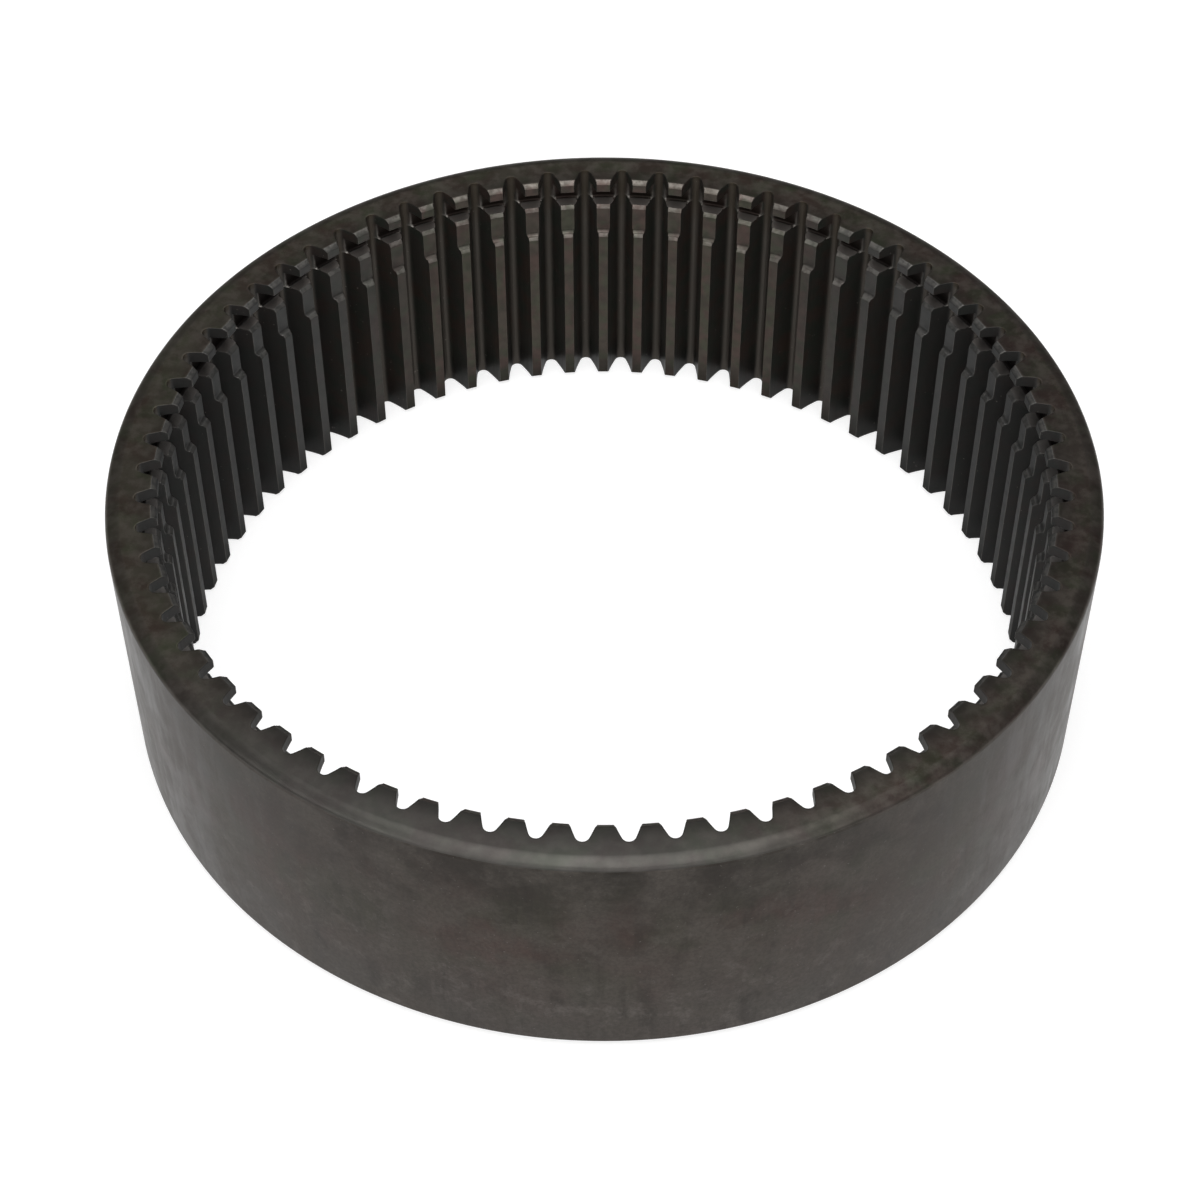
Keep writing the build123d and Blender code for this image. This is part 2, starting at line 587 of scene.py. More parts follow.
@dataclass(frozen=True)
class TurnedBoreFinish(Finish):
    """Bored tips, recess, groove and chamfers, smoother than the outside.

    Args:
        stains: Small dark stains.
        stain_matt: How much rougher a stain is.
        painted_side_shade: Painted shade, darker at the sides, by the distance from the YZ plane.
        painted_side_shade_end: How that gives way at the far sides.
        cool: Greyer skin at the sides.
        groove_wall: Painted shade, a dark floor of the groove under its upper side, by radius.
        foot: Painted shade, darker near the lower end, deep in the bore.
        ledge: Painted highlight on the lower side of the groove, which starts at this radius.
        ledge_end: Radius at which it ends.
        ledge_top: Height above which it isn't bright.
        ledge_front: How it gives way towards the front.
        ledge_share: How much of the bright tone shows.
        turning: Fine lines left by boring.
        relief: Depth of those lines in millimetres.
    """

    name: str = "turned_bore"
    skin: Colour = (0.058, 0.049, 0.041)
    warm: Colour = (0.066, 0.047, 0.041)
    olive: Colour = (0.050, 0.053, 0.038)
    cloud_size: float = 8.0
    glance: float = 0.38
    shine: float = 0.2
    # brighter exposed metal in small, strong patches: partly scuffing, partly painted glints on the
    # chamfers
    bare_and_glint: Colour = (0.38, 0.36, 0.33)
    rubbed_and_glint: float = 0.8
    rub_and_glint_size: float = 1.6
    stains: Mottle = Mottle(
        size=3.0, detail=4.0, rough=0.6, low=0.35, high=0.7, tone=(0.028, 0.026, 0.023), share=0.35
    )
    stain_matt: float = 0.1
    # painted shade: darker at the sides, giving way at the far sides
    painted_side_shade: Fade = Fade(35.0, 75.0, 0.0, 0.35, (0.018, 0.018, 0.016))
    painted_side_shade_end: Slope = Slope(92.0, 110.0, 1.0, 0.0)
    cool: Fade = Fade(45.0, 105.0, 0.0, 0.9, (0.054, 0.055, 0.055))
    # painted shade: the groove's floor darkened under its upper side
    groove_wall: Fade = Fade(124.8, 125.6, 0.0, 0.85, (0.010, 0.007, 0.006))
    # painted shade: darker near the lower end, deep in the bore
    foot: Fade = Fade(0.0, 15.0, 0.6, 0.0, (0.010, 0.010, 0.009))
    # painted highlight on the groove's lower side, fading towards the front
    ledge: Fade = Fade(121.9, 122.3, 0.0, 1.0, (0.30, 0.27, 0.25))
    ledge_end: Slope = Slope(125.4, 124.9)
    ledge_top: Slope = Slope(68.5, 68.0)
    ledge_front: Slope = Slope(20.0, 105.0, 0.3, 1.0)
    ledge_share: float = 0.8
    turning: Noise = Noise(size=0.35, rough=0.7, squeeze=(0.03, 0.03, 1))
    relief: float = 0.008

    def surface(self, graph: Graph, place: Wire) -> tuple[Wire, Wire, Wire]:
        """Colour, roughness and normal of the turned surfaces of the bore.

        Args:
            graph: The material's graph.
            place: Position in millimetres.

        Returns:
            Colour, roughness and normal.
        """
        radius = graph.radius(place)
        across, along, height = graph.axes(place)
        aside = abs(across)
        stains = self.stains.mask(graph, place)
        colour = self.stains.over(graph, self.clouds(graph, place), stains)
        # painted shade at the sides
        painted_side_shade = self.painted_side_shade.read(graph, aside) * self.painted_side_shade_end.read(graph, aside)
        colour = graph.mix(painted_side_shade, colour, self.painted_side_shade.tone)
        colour = self.cool.over(graph, colour, aside)
        # painted shade in the groove
        colour = self.groove_wall.over(graph, colour, radius)
        # painted shade deep in the bore, near the lower end
        colour = self.foot.over(graph, colour, height)
        # painted highlight on the groove's lower side
        ledge = self.ledge.read(graph, radius) * self.ledge_top.read(graph, height)
        ledge = ledge * self.ledge_front.read(graph, along) * self.ledge_end.read(graph, radius)
        colour = graph.mix(ledge * self.ledge_share, colour, self.ledge.tone)
        normal = graph.bump(self.turning.read(graph, place), self.relief)
        return colour, self.roughness + stains * self.stain_matt, normal


@dataclass(frozen=True)
class CutTeethFinish(Finish):
    """Shaped flanks and roots, with the cutter's lines along the teeth and small nicks.

    Args:
        cool: Greyer skin at the sides, by the distance from the YZ plane.
        foot: Painted shade, darker near the lower end, deep in the bore.
        root: Painted highlight, a paler floor of the tooth spaces, by radius.
        root_top: Painted shade, a darker upper part of that floor, by height.
        root_sides: How it gives way at the sides.
        root_end: Painted shade on the last of the floor below the upper face, dark all round.
        strokes: The cutter's lines.
        stroke_matt: How much rougher the high lines are.
        nicks: Small bright nicks.
        relief: Depth of the lines in millimetres.
    """

    name: str = "cut_teeth"
    skin: Colour = (0.034, 0.031, 0.027)
    warm: Colour = (0.040, 0.029, 0.024)
    olive: Colour = (0.027, 0.031, 0.025)
    cloud_size: float = 9.0
    roughness: float = 0.42
    metallic: float = 0.5
    glance: float = 0.5
    shine: float = 0.25
    bare_and_glint: Colour = (0.38, 0.36, 0.33)
    cool: Fade = Fade(60.0, 115.0, 0.0, 0.7, (0.034, 0.034, 0.034))
    # painted shade: darker near the lower end, deep in the bore
    foot: Fade = Fade(0.0, 16.0, 0.8, 0.0, (0.008, 0.008, 0.008))
    # painted highlight on the floor of the tooth spaces
    root: Fade = Fade(126.2, 126.8, 0.0, 0.85, (0.062, 0.054, 0.046))
    # painted shade on the upper part of the tooth-space floor
    root_top: Fade = Fade(58.0, 70.0, 0.0, 0.62, (0.022, 0.015, 0.006))
    root_sides: Slope = Slope(60.0, 105.0, 1.0, 0.0)
    root_end: Slope = Slope(74.6, 76.2, 0.0, 0.74)
    strokes: Mottle = Mottle(size=0.5, detail=3.0, rough=0.6, squeeze=(1, 1, 0.02), low=0.3, high=0.7)
    stroke_matt: float = 0.08
    nicks: Mottle = Mottle(size=1.1, low=0.73, high=0.78, tone=(0.22, 0.20, 0.18), share=0.6)
    relief: float = 0.010

    def surface(self, graph: Graph, place: Wire) -> tuple[Wire, Wire, Wire]:
        """Colour, roughness and normal of the tooth flanks and roots.

        Args:
            graph: The material's graph.
            place: Position in millimetres.

        Returns:
            Colour, roughness and normal.
        """
        across, _, height = graph.axes(place)
        aside = abs(across)
        colour = self.cool.over(graph, self.clouds(graph, place), aside)
        # painted shade deep in the bore, near the lower end
        colour = self.foot.over(graph, colour, height)
        # painted highlight on the floor of the tooth spaces
        root = self.root.read(graph, graph.radius(place))
        colour = graph.mix(root, colour, self.root.tone)
        # painted shade on the upper part of the tooth-space floor
        upper = self.root_top.read(graph, height) * self.root_sides.read(graph, aside)
        upper = graph.maths("MAXIMUM", upper, self.root_end.read(graph, height))
        colour = graph.mix(upper * root, colour, self.root_top.tone)
        colour = self.nicks.lay(graph, colour, place)
        strokes = self.strokes.read(graph, place)
        high = graph.span(strokes, self.strokes.low, self.strokes.high)
        return colour, self.roughness + high * self.stroke_matt, graph.bump(strokes, self.relief)


# --- The ring -------------------------------------------------------------------------------

EdgeTable = tuple[tuple[float, float, float, float], ...]


@dataclass
class ToothSpace:
    """The shape that the cutter leaves between two teeth, seen along the axis.

    Args:
        teeth: Number of teeth.
        module: Module.
        pressure_angle: Pressure angle in degrees.
        thinning: How much thinner than half the pitch a tooth is at the pitch circle.
        dedendum: Depth of the space below the pitch circle.
        root_round: Radius between the root and a flank.
        round_steps: Number of straight steps in that round.
        flank_radii: Radii at which the flank has a point.
        inside: Radius, inside the tips, at which the outline ends in the middle of a tooth.
    """

    teeth: int = 70
    module: float = 3.5
    pressure_angle: float = 20.0
    thinning: float = 0.4
    dedendum: float = 4.375
    root_round: float = 1.84
    round_steps: int = 4
    flank_radii: tuple[float, ...] = (
        124.8, 123.7, 122.7, 122.1, 121.6, 121.2, 121.0, 120.8, 120.2, 119.6, 119.2, 119.0, 118.8,
    )
    inside: float = 117.5

    @property
    def pitch_radius(self) -> float:
        """Radius of the pitch circle."""
        return self.teeth * self.module / 2

    @property
    def root_radius(self) -> float:
        """Radius of the root circle."""
        return self.pitch_radius + self.dedendum

    @property
    def pitch_angle(self) -> float:
        """Angle from one tooth to the next, in radians."""
        return math.tau / self.teeth

    def half_angle(self, radius: float) -> float:
        """Half of the angle that the space takes at a radius.

        Args:
            radius: Distance from the axis.

        Returns:
            The angle in radians.
        """
        def involute(angle: float) -> float:
            """Involute function of an angle in radians."""
            return math.tan(angle) - angle

        pressure = math.radians(self.pressure_angle)
        base = self.pitch_radius * math.cos(pressure)
        at_pitch = (math.pi * self.module + self.thinning * 2) / (4 * self.pitch_radius)
        return at_pitch + involute(pressure) - involute(math.acos(base / radius))

    def half_outline(self) -> list[tuple[float, float]]:
        """Half of the space's outline, with its round between root and flank.

        Returns:
            Angle and radius of each point, from the middle of the root to the middle of a tooth.
        """
        root, size = self.root_radius, self.root_round
        nudge = 0.01  # how far inside the root the flank's slope is measured
        wide = root * self.half_angle(root)
        slope = ((root - nudge) * self.half_angle(root - nudge) - wide) / nudge
        lean = math.atan(slope)
        middle = wide + size * slope - size / math.cos(lean)
        outline = [(0.0, root)]
        for step in range(self.round_steps + 1):
            turn = math.pi / 2 + (lean - math.pi / 2) * step / self.round_steps
            across = middle + size * math.cos(turn)
            outline.append((across / root, root - size + size * math.sin(turn)))
        outline += [(self.half_angle(r), r) for r in self.flank_radii]
        outline.append((self.pitch_angle / 2, self.inside))
        return outline

    def columns(self) -> np.ndarray:
        """Angle and radius of the cut round one pitch, centred on the space.

        Returns:
            One row per column, from the middle of one tooth up to the next, without its middle.
        """
        half = self.half_outline()
        left = [(-a, r) for a, r in reversed(half[1:])]
        return np.array(left + half[:-1])

    def cut(self) -> tuple[np.ndarray, np.ndarray, np.ndarray]:
        """The cut all round the bore, column by column.

        Returns:
            Angle and radius of each column, and its angle from the middle of its own space.
        """
        one = self.columns()
        starts = self.pitch_angle * np.arange(self.teeth)[:, None]
        angles = (one[None, :, 0] + starts).ravel()
        return angles, np.tile(one[:, 1], self.teeth), np.tile(one[:, 0], self.teeth)


@dataclass
class BoreSection:
    """The turned shape of the bore, from the lower end to the mouth.

    Each edge table belongs to the place where two turned sides meet. Its rows say how far out and
    up from there a point lies, how far its outline is set back into the metal, and how much metal
    shows there, as scuffing and as a painted glint.

    Args:
        height: Height of the ring.
        tip_radius: Radius of the tooth tips.
        recess_radius: Radius of the recess at the upper end.
        recess_floor: Height of the recess's lower end.
        groove_radius: Radius of the groove's floor.
        groove_bottom: Height of the groove's lower side.
        groove_top: Height of its upper side.
        groove_round: Radius between the groove's lower side and its floor.
        round_steps: Number of straight steps in that round.
        lower_end: Chamfer of the tips at the lower end.
        step: Chamfer where the full teeth end below the recess.
        recess_corner: Fillet inside the recess's lower end.
        groove_edge: Chamfer at the groove's lower side.
        groove_roof: Corner between the groove's floor and its upper side.
        roof_edge: Edge between the groove's upper side and the recess.
        mouth: Chamfer at the upper face.
    """

    height: float = 77.0
    tip_radius: float = 119.0
    recess_radius: float = 121.0
    recess_floor: float = 58.2
    groove_radius: float = 125.875
    groove_bottom: float = 67.9
    groove_top: float = 73.4
    groove_round: float = 0.9
    round_steps: int = 4
    lower_end: EdgeTable = (
        (1.2, 0.0, 0, 0), (1.2, 0.0, 0.25, 0.4), (0.95, 0.25, 0, 0.15), (0.12, 1.08, 0, 0.15),
        (0.0, 1.35, 0, 0),
    )
    step: EdgeTable = (
        (0.0, -0.95, 0, 0), (0.07, -0.73, 0, 0.22), (0.75, -0.05, 0, 0.22), (0.95, 0.0, 0, 0.15),
    )
    recess_corner: EdgeTable = (
        (-0.62, 0.14, 0, 0.12), (-0.26, 0.50, 0, 0.12), (-0.06, 1.0, 0, 0.06), (0.0, 1.6, 0, 0),
    )
    groove_edge: EdgeTable = (
        (0.0, -1.15, 0, 0), (0.07, -0.92, 0, 0.22), (0.93, -0.06, 0, 0.22), (1.15, 0.0, 0, 0),
    )
    groove_roof: EdgeTable = ((0.0, -0.3, 0, 0), (-0.09, -0.09, 0, 0), (-0.3, 0.0, 0, 0))
    roof_edge: EdgeTable = ((0.25, 0.0, 0, 0), (0.06, 0.06, 0, 0.4), (0.0, 0.25, 0, 0))
    # the mouth's marks peak across the chamfer: a painted glint as well as scuffing
    mouth: EdgeTable = (
        (0.0, -1.10, 0, 0), (0.08, -0.95, 0, 0.05), (0.8, -0.47, 0, 0.30), (1.32, -0.12, 0, 0.26),
        (1.5, 0.0, 0.12, 0.15), (1.5, 0.0, 0, 0),
    )

    def rows(self) -> np.ndarray:
        """Points up the bore.

        Returns:
            Radius, height, set-back and edge mark of each row.
        """
        size = self.groove_round
        turns = [math.pi / 2 * i / self.round_steps for i in range(self.round_steps + 1)]
        groove_corner = tuple((-size * (1 - math.sin(t)), size * (1 - math.cos(t)), 0, 0) for t in turns)
        edges = (
            (self.tip_radius, 0.0, self.lower_end),
            (self.tip_radius, self.recess_floor, self.step),
            (self.recess_radius, self.recess_floor, self.recess_corner),
            (self.recess_radius, self.groove_bottom, self.groove_edge),
            (self.groove_radius, self.groove_bottom, groove_corner),
            (self.groove_radius, self.groove_top, self.groove_roof),
            (self.recess_radius, self.groove_top, self.roof_edge),
            (self.recess_radius, self.height, self.mouth),
        )
        return np.array([
            (radius + out, height + up, set_back, mark)
            for radius, height, table in edges
            for out, up, set_back, mark in table
        ])


@dataclass
class OuterSection:
    """The outside of the ring, from the upper face down to the lower one.

    Args:
        radius: Outer radius.
        height: Height of the ring.
        top_reach: How far in from the outside the round of the upper edge starts.
        top_broad: Radius of its broad upper part.
        top_tight: Radius of its tight end at the wall.
        broad_steps: Number of straight steps in the broad part.
        tight_steps: Number of straight steps in the tight part.
        broad_mark: Edge mark of the broad part.
        tight_mark: Edge mark in the middle of the tight part, scuffing and a painted highlight.
        face_steps: Steps of the tight part that still have the finish of the end face.
        bottom_chamfer: Size of the lower edge's chamfer.
        bottom_ease: How each end of that chamfer is eased: in from the wall, up from the
            chamfer's end, and the edge mark.
    """

    radius: float
    height: float
    top_reach: float = 4.2
    top_broad: float = 7.0
    top_tight: float = 1.9
    broad_steps: int = 7
    tight_steps: int = 5
    # marks of the upper round: scuffing and a painted highlight
    broad_mark: float = 0.15
    tight_mark: float = 0.35
    face_steps: int = 3
    bottom_chamfer: float = 2.1
    bottom_ease: tuple[tuple[float, float, float], ...] = (
        (0.0, 0.55, 0.0), (0.07, 0.14, 0.3), (0.38, -0.38, 0.2),
    )

    @property
    def face_bands(self) -> int:
        """Number of bands, from the upper face down, that have the finish of the end face."""
        return self.broad_steps + self.face_steps

    def rows(self) -> np.ndarray:
        """Radius, height and edge mark of each row.

        Returns:
            One row per circle, from the upper face to the lower face.
        """
        inner, broad, tight = self.radius - self.top_reach, self.top_broad, self.top_tight
        join = math.asin((self.top_reach - tight) / (broad - tight))
        rows = [(inner, self.height, 0.0)]
        for i in range(1, self.broad_steps + 1):
            t = join * i / self.broad_steps
            fall = broad * (1 - math.cos(t))
            rows.append((inner + broad * math.sin(t), self.height - fall, self.broad_mark))
        centre = self.height - broad * (1 - math.cos(join)) - tight * math.cos(join)
        for i in range(1, self.tight_steps + 1):
            t = join + (math.pi / 2 - join) * i / self.tight_steps
            # the mark peaks mid-round: a painted highlight as well as scuffing
            mark = self.tight_mark * math.sin(math.pi * i / self.tight_steps)
            rows.append((self.radius - tight * (1 - math.sin(t)), centre + tight * math.cos(t), mark))
        radius, slant = self.radius, self.bottom_chamfer
        rows += [(radius - inward, slant + up, mark) for inward, up, mark in self.bottom_ease]
        rows += [(radius - slant - up, inward, mark) for inward, up, mark in reversed(self.bottom_ease)]
        return np.array(rows)


@dataclass
class Ring:
    """The whole ring as one closed mesh.

    The bore is a grid of the section's rows and the cut's columns. Where the section lies outside
    the cut, the grid follows the turned surface, and elsewhere it follows the teeth.

    Args:
        outer_radius: Outer radius.
        height: Height.
        space: The cut between two teeth.
        finishes: The finish of each zone.
        soft_edge: Size of the small round between flanks and turned surfaces.
        face_rim: Width of the even rim that each end face has along the bore.
        outer_columns: Number of columns of the outside per tooth pitch.
        set_back_reach: How far beyond a row's radius the cut lies when its set-back is full.
        flank_mark: Edge mark between flanks and turned surfaces.
        groove_mark: Share of that mark which is left inside the groove.
        groove_rise: Height above the groove's lower side up to which the burr decides the mark.
        groove_band: How far in from its floor a point still counts as inside the groove.
        burr_glint: Edge mark of the burred edge that the grooving tool leaves on the groove's
            lower side, partly scuffed metal and partly a painted glint.
        burr_glint_inside: How far inside the groove's floor the mark is strongest.
        burr_glint_fade: How far from there a mark of 1 is lost.
        burr_glint_clockwise: What the mark is multiplied by on the clockwise half of each space,
            where the painted glint is brighter.
        burr_glint_counter: What it is multiplied by on the other half.
        burr_glint_height: Height at which the mark is lost.
        weld: Size of the grid on which points become one vertex.
    """

    outer_radius: float
    height: float
    space: ToothSpace = field(default_factory=ToothSpace)
    finishes: dict[Zone, Finish] = field(default_factory=lambda: {
        Zone.OUTER_WALL: OuterWallFinish(),
        Zone.END_FACE: EndFaceFinish(),
        Zone.TURNED_BORE: TurnedBoreFinish(),
        Zone.CUT_TEETH: CutTeethFinish(),
    })
    soft_edge: float = 0.18
    face_rim: float = 0.5
    outer_columns: int = 4
    set_back_reach: float = 0.8
    flank_mark: float = 0.4
    groove_mark: float = 0.3
    groove_rise: float = 1.5
    groove_band: float = 1.0
    # scuffed metal and a painted glint on the groove's lower side, stronger on one side
    burr_glint: float = 1.4
    burr_glint_inside: float = 0.25
    burr_glint_fade: float = 0.8
    burr_glint_clockwise: float = 1.6
    burr_glint_counter: float = 0.7
    burr_glint_height: float = 1.15
    weld: float = 0.02

    def build(self) -> bpy.types.Object:
        """Builds the mesh, its zones and its edge marks, and dresses it.

        Returns:
            The finished ring.
        """
        bore = BoreSection(self.height)
        outside = OuterSection(self.outer_radius, self.height)
        bore_points, bore_edge, bore_zone = self._bore(bore)
        wall_points, wall_edge = self._wall(outside)
        points = np.concatenate([bore_points.reshape(-1, 3), wall_points.reshape(-1, 3)])
        edge = np.concatenate([bore_edge.ravel(), wall_edge.ravel()])
        bore_ids = np.arange(bore_edge.size).reshape(bore_edge.shape)
        wall_ids = bore_edge.size + np.arange(wall_edge.size).reshape(wall_edge.shape)
        wall_zone = np.full((wall_ids.shape[0] - 1, wall_ids.shape[1]), int(Zone.OUTER_WALL))
        wall_zone[:outside.face_bands] = int(Zone.END_FACE)
        faces: list[tuple[int, ...]] = []
        zones: list[int] = []
        self._add_grid(faces, zones, bore_ids, bore_zone)
        self._add_grid(faces, zones, wall_ids, wall_zone)
        self._add_end(faces, zones, bore_ids[-1], wall_ids[0], upward=True)
        self._add_end(faces, zones, bore_ids[0], wall_ids[-1], upward=False)
        ring = self._to_object(points, edge, faces, zones)
        for zone in Zone:
            ring.data.materials.append(self.finishes[zone].make())
        return ring

    def _bore(self, bore: BoreSection) -> tuple[np.ndarray, np.ndarray, np.ndarray]:
        """The bore, row by row and column by column.

        Args:
            bore: The bore's section.

        Returns:
            Points, edge marks, and the zone of each face.
        """
        section = bore.rows()
        turned = section[:, 0][:, None]
        angles, cut, from_middle = self.space.cut()
        tip_cut = self._softer(cut, np.full_like(cut, bore.tip_radius))
        radius = self._softer(tip_cut[None, :], np.maximum(turned, bore.tip_radius))
        radius = np.where(turned <= bore.tip_radius, tip_cut[None, :], radius)
        x, y = radius * np.cos(angles), radius * np.sin(angles)
        for row, (at, _, set_back, _) in enumerate(section):
            if set_back > 0:
                share = np.clip((cut - at) / (2 * self.set_back_reach) + 0.5, 0.5, 1.0)
                x[row], y[row] = self._set_back(x[row], y[row], set_back * share)
        for row, beside in ((0, 1), (-1, -2)):
            stretch = 1 + self.face_rim / np.hypot(x[beside], y[beside])
            x[row], y[row] = x[beside] * stretch, y[beside] * stretch
        z = np.broadcast_to(section[:, 1][:, None], x.shape)
        cut_mid = (cut + np.roll(cut, -1)) / 2
        turned_mid = (section[1:, 0] + section[:-1, 0]) / 2
        in_teeth = cut_mid[None, :] > turned_mid[:, None]
        zone = np.where(in_teeth, int(Zone.CUT_TEETH), int(Zone.TURNED_BORE))
        zone[[0, -1]] = int(Zone.END_FACE)
        return np.stack([x, y, z], axis=-1), self._bore_edge(bore, cut, from_middle), zone

    def _bore_edge(self, bore: BoreSection, cut: np.ndarray, from_middle: np.ndarray) -> np.ndarray:
        """How worn each point of the bore is.

        Args:
            bore: The bore's section.
            cut: Radius of the cut at each column.
            from_middle: Angle of each column from the middle of its space.

        Returns:
            Edge mark of each row and column.
        """
        section = bore.rows()
        turned = section[:, 0][:, None]
        near = np.clip(1 - np.abs(cut[None, :] - turned) / self.soft_edge, 0, 1)
        on_turned = cut[None, :] < turned + self.soft_edge
        edge = np.maximum(near * self.flank_mark, section[:, 3][:, None] * on_turned)
        # painted glint along the groove's lower side, stronger on the clockwise half
        off = np.abs(cut - bore.groove_radius + self.burr_glint_inside) / self.burr_glint_fade
        burr_glint = np.clip(self.burr_glint - off, 0, 1)
        burr_glint *= np.where(from_middle < 0, self.burr_glint_clockwise, self.burr_glint_counter)
        above = section[:, 1:2] - bore.groove_bottom
        in_groove = turned > bore.groove_radius - self.groove_band
        edge = np.where(in_groove, edge * self.groove_mark, edge)
        risen = burr_glint[None, :] * np.clip(self.burr_glint_height - above, 0, 1)
        edge = np.where(in_groove & (above < self.groove_rise), risen, edge)
        edge[[0, -1]] = 0
        return edge

    def _softer(self, first: np.ndarray, second: np.ndarray) -> np.ndarray:
        """The larger of two radii, with a small round where they cross."""
        gap = np.maximum(self.soft_edge - np.abs(first - second), 0) / self.soft_edge
        return np.maximum(first, second) + gap * gap * self.soft_edge / 4

    @staticmethod
    def _set_back(x: np.ndarray, y: np.ndarray, size: np.ndarray) -> tuple[np.ndarray, np.ndarray]:
        """Moves a closed outline of the bore outwards, into the metal.

        Args:
            x: First coordinate of each point.
            y: Second coordinate of each point.
            size: How far each point moves.

        Returns:
            The moved coordinates.
        """
        along_x, along_y = np.roll(x, -1) - np.roll(x, 1), np.roll(y, -1) - np.roll(y, 1)
        length = np.hypot(along_x, along_y)
        return x + size * along_y / length, y - size * along_x / length

    def _wall(self, outside: OuterSection) -> tuple[np.ndarray, np.ndarray]:
        """The outside, row by row and column by column.

        Args:
            outside: The section of the outside.

        Returns:
            Points and edge marks.
        """
        section = outside.rows()
        count = self.space.teeth * self.outer_columns
        angles = self.space.pitch_angle * (np.arange(count) / self.outer_columns - 0.5)
        radius = section[:, 0][:, None]
        x, y = radius * np.cos(angles), radius * np.sin(angles)
        z = np.broadcast_to(section[:, 1][:, None], x.shape)
        edge = np.broadcast_to(section[:, 2][:, None], x.shape)
        return np.stack([x, y, z], axis=-1), edge

    @staticmethod
    def _add_grid(
        faces: list[tuple[int, ...]], zones: list[int], ids: np.ndarray, zone: np.ndarray
    ) -> None:
        """Adds a closed band of four-sided faces.

        Args:
            faces: Faces so far.
            zones: Zone of each face so far.
            ids: Vertex of each row and column.
            zone: Zone of each new face.
        """
        after = np.roll(ids, -1, axis=1)
        quads = np.stack([ids[:-1], ids[1:], after[1:], after[:-1]], axis=-1).reshape(-1, 4)
        faces.extend(map(tuple, quads.tolist()))
        zones.extend(zone.ravel().tolist())

    def _add_end(
        self, faces: list[tuple[int, ...]], zones: list[int],
        inner: np.ndarray, outer: np.ndarray, upward: bool,
    ) -> None:
        """Adds one flat end face, a piece for each tooth pitch.

        Args:
            faces: Faces so far.
            zones: Zone of each face so far.
            inner: Vertices along the bore.
            outer: Vertices along the outside.
            upward: Whether it faces up.
        """
        per_inner, per_outer = len(inner) // self.space.teeth, self.outer_columns
        for pitch in range(self.space.teeth):
            inside = np.take(inner, range(pitch * per_inner, (pitch + 1) * per_inner + 1), mode="wrap")
            outside = np.take(outer, range(pitch * per_outer, (pitch + 1) * per_outer + 1), mode="wrap")
            loop = list(outside) + list(inside[::-1])
            faces.append(tuple(int(i) for i in (loop if upward else loop[::-1])))
            zones.append(int(Zone.END_FACE))

    def _to_object(
        self, points: np.ndarray, edge: np.ndarray, faces: list[tuple[int, ...]], zones: list[int]
    ) -> bpy.types.Object:
        """Welds what coincides and makes the Blender object.

        Args:
            points: Vertices in millimetres.
            edge: Edge mark of each vertex.
            faces: Vertices of each face.
            zones: Zone of each face.

        Returns:
            The ring, with no materials yet.
        """
        grid = np.round(points / self.weld).astype(np.int64)
        _, first, same = np.unique(grid, axis=0, return_index=True, return_inverse=True)
        same = same.ravel()
        kept_faces: list[list[int]] = []
        kept_zones: list[int] = []
        for face, zone in zip(faces, zones):
            loop = list(dict.fromkeys(int(same[i]) for i in face))
            if len(loop) > 2:
                kept_faces.append(loop)
                kept_zones.append(zone)
        mesh = bpy.data.meshes.new("ring")
        mesh.from_pydata((points[first] * MM).tolist(), [], kept_faces)
        mesh.update()
        mesh.polygons.foreach_set("material_index", kept_zones)
        mesh.polygons.foreach_set("use_smooth", [True] * len(kept_faces))
        mark = mesh.attributes.new("edge", "FLOAT", "POINT")
        mark.data.foreach_set("value", edge[first].astype(np.float32))
        self._soften(mesh)
        ring = bpy.data.objects.new("internal_ring_gear", mesh)
        bpy.context.scene.collection.objects.link(ring)
        return ring

    @staticmethod
    def _soften(mesh: bpy.types.Mesh) -> None:
        """Gives each vertex the normal of its faces, the large ones counting most.

        Args:
            mesh: The ring's mesh.
        """
        count = len(mesh.polygons)
        area, normal = np.zeros(count), np.zeros(count * 3)
        corners, totals = np.zeros(len(mesh.loops), np.int64), np.zeros(count, np.int64)
        mesh.polygons.foreach_get("area", area)
        mesh.polygons.foreach_get("normal", normal)
        mesh.polygons.foreach_get("loop_total", totals)
        mesh.loops.foreach_get("vertex_index", corners)
        owner = np.repeat(np.arange(count), totals)
        summed = np.zeros((len(mesh.vertices), 3))
        np.add.at(summed, corners, normal.reshape(-1, 3)[owner] * area[owner][:, None])
        summed /= np.maximum(np.linalg.norm(summed, axis=1, keepdims=True), 1e-12)
        mesh.normals_split_custom_set_from_vertices(summed.tolist())


# --- Studio ---------------------------------------------------------------------------------


@dataclass(frozen=True)
class Softbox:
    """One oblong light that looks at the ring.

    Args:
        name: The light's name.
        azimuth: Direction round the ring in degrees, 0 in front and positive to the right.
        elevation: Height above the floor in degrees.
        distance: Distance from the ring in metres.
        sides: Width and depth of the light in metres.
        power: Power in watts.
    """

    name: str
    azimuth: float
    elevation: float
    distance: float
    sides: tuple[float, float]
    power: float

    def hang(self) -> None:
        """Adds the light to the scene."""
        a, e = math.radians(self.azimuth), math.radians(self.elevation)
        toward = Vector((math.sin(a) * math.cos(e), -math.cos(a) * math.cos(e), math.sin(e)))
        data = bpy.data.lights.new(self.name, "AREA")
        data.shape = "RECTANGLE"
        data.size, data.size_y = self.sides
        data.energy = self.power
        light = bpy.data.objects.new(self.name, data)
        light.location = toward * self.distance
        light.rotation_euler = toward.to_track_quat("Z", "Y").to_euler()
        bpy.context.scene.collection.objects.link(light)


